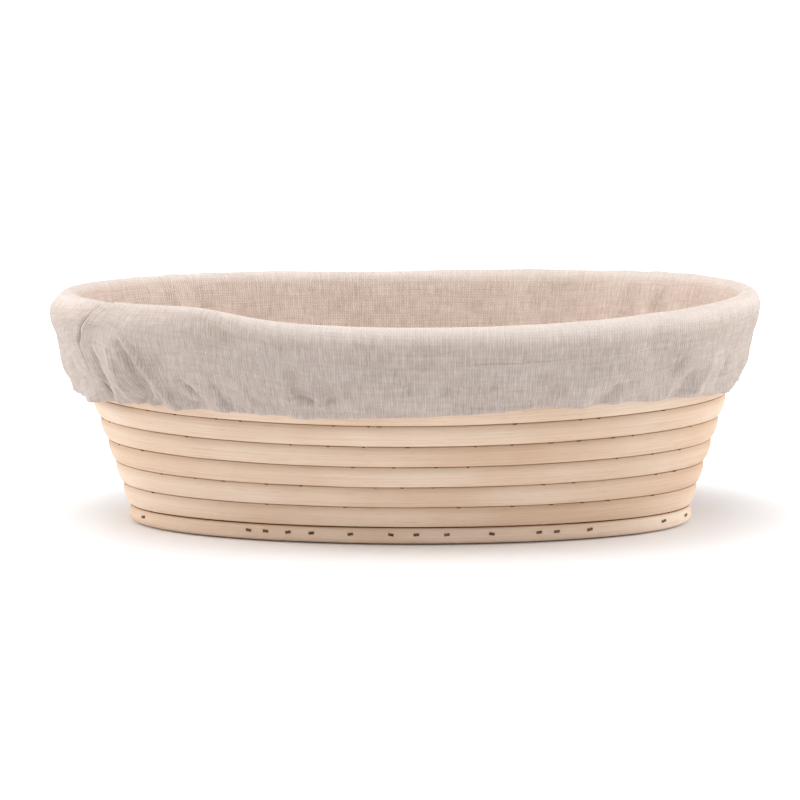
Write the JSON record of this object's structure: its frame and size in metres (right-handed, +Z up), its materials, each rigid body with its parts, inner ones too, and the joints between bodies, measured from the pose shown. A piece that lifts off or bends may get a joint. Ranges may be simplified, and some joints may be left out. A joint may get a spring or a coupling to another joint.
{
  "type": "banneton basket",
  "caption": "Oval coiled-cane dough proofing basket with a nailed base ring and a removable cloth liner that folds over the rim.",
  "frame": {"origin": "centre of the underside, on the surface that the basket stands on", "axes": "+X along the length of the oval, +Y across it, +Z up out of the mouth"},
  "size_m": [0.2544, 0.1546, 0.085],
  "materials": {
    "cane": "dry, unvarnished rattan core",
    "batten": "dry, split cane",
    "nail": "browned steel",
    "linen": "unbleached plain weave",
    "elastic": "flat braided elastic"
  },
  "bodies": {
    "basket": {"base_ring": "cane", "wall_ring_1": "cane", "wall_ring_2": "cane", "wall_ring_3": "cane", "wall_ring_4": "cane", "wall_ring_5": "cane", "wall_ring_6": "cane", "wall_ring_7": "cane", "wall_ring_8": "cane", "rim_ring": "cane", "floor_cane_1": "cane", "floor_cane_2": "cane", "floor_cane_3": "cane", "floor_cane_4": "cane", "floor_cane_5": "cane", "floor_cane_6": "cane", "floor_cane_7": "cane", "floor_cane_8": "cane", "cross_batten_1": "batten", "cross_batten_2": "batten", "cross_batten_3": "batten", "base_nail_01": "nail", "base_nail_02": "nail", "base_nail_03": "nail", "base_nail_04": "nail", "base_nail_05": "nail", "base_nail_06": "nail", "base_nail_07": "nail", "base_nail_08": "nail", "base_nail_09": "nail", "base_nail_10": "nail", "base_nail_11": "nail", "base_nail_12": "nail", "base_nail_13": "nail", "base_nail_14": "nail", "base_nail_15": "nail", "base_nail_16": "nail", "base_nail_17": "nail", "base_nail_18": "nail", "base_nail_19": "nail", "base_nail_20": "nail", "base_nail_21": "nail", "base_nail_22": "nail", "base_nail_23": "nail", "base_nail_24": "nail", "base_nail_25": "nail"},
    "liner": {"liner_bottom": "linen", "liner_wall": "linen", "liner_skirt": "linen", "hem_elastic": "elastic"}
  },
  "joints": [
    {"name": "liner_lift", "type": "slide", "parent": "basket", "child": "liner", "axis": [0, 0, 1], "range_m": [0, 0.1], "deforming": ["liner_skirt", "hem_elastic"]}
  ]
}
